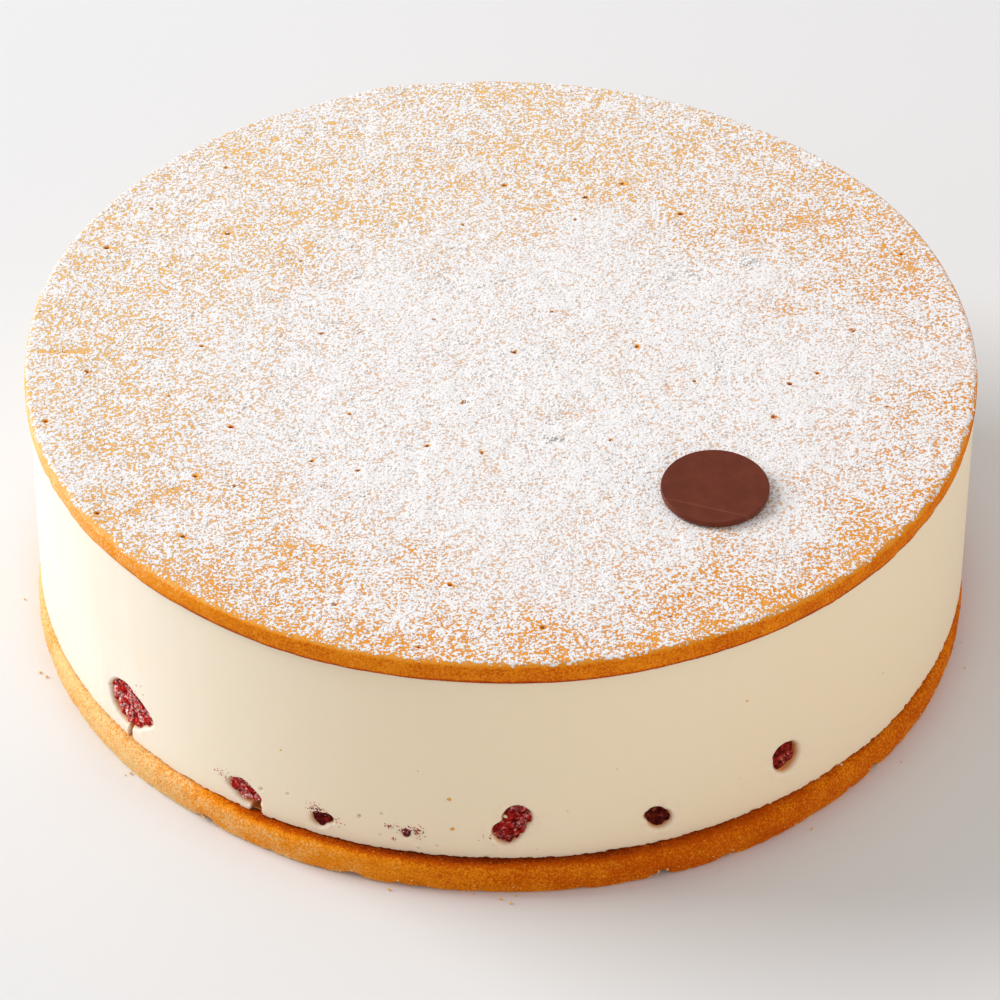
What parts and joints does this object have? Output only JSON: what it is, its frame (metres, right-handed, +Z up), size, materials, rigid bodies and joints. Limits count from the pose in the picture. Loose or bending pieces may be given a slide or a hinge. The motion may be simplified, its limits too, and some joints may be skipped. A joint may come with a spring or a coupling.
{
  "type": "cheese cream torte",
  "caption": "Round cheese cream torte between two thin sponge discs, sugar-dusted, with raspberries in its side and a bare chocolate medallion.",
  "frame": {"origin": "centre of the bottom sponge's underside, on the surface the torte rests on", "axes": "+Z up through the torte; -Y towards the side whose raspberries and medallion are seen first, +X to its right"},
  "size_m": [0.2712, 0.2739, 0.0862],
  "materials": {
    "sponge": "golden-brown baked sponge, fine dry crumb",
    "sugared_sponge": "golden sponge under powdered sugar",
    "cheese_cream": "smooth ivory set cream, soft sheen",
    "chocolate": "satin milk chocolate",
    "raspberry": "moist frosted red fruit"
  },
  "bodies": {
    "root": {"base_sponge": "sponge", "cheese_cream": "cheese_cream", "top_sponge": "sugared_sponge", "chocolate_medallion": "chocolate", "raspberry_1": "raspberry", "raspberry_2": "raspberry", "raspberry_3": "raspberry", "raspberry_4": "raspberry", "raspberry_5": "raspberry", "raspberry_6": "raspberry", "raspberry_7": "raspberry", "raspberry_8": "raspberry", "raspberry_9": "raspberry", "raspberry_10": "raspberry", "raspberry_11": "raspberry"}
  },
  "joints": []
}
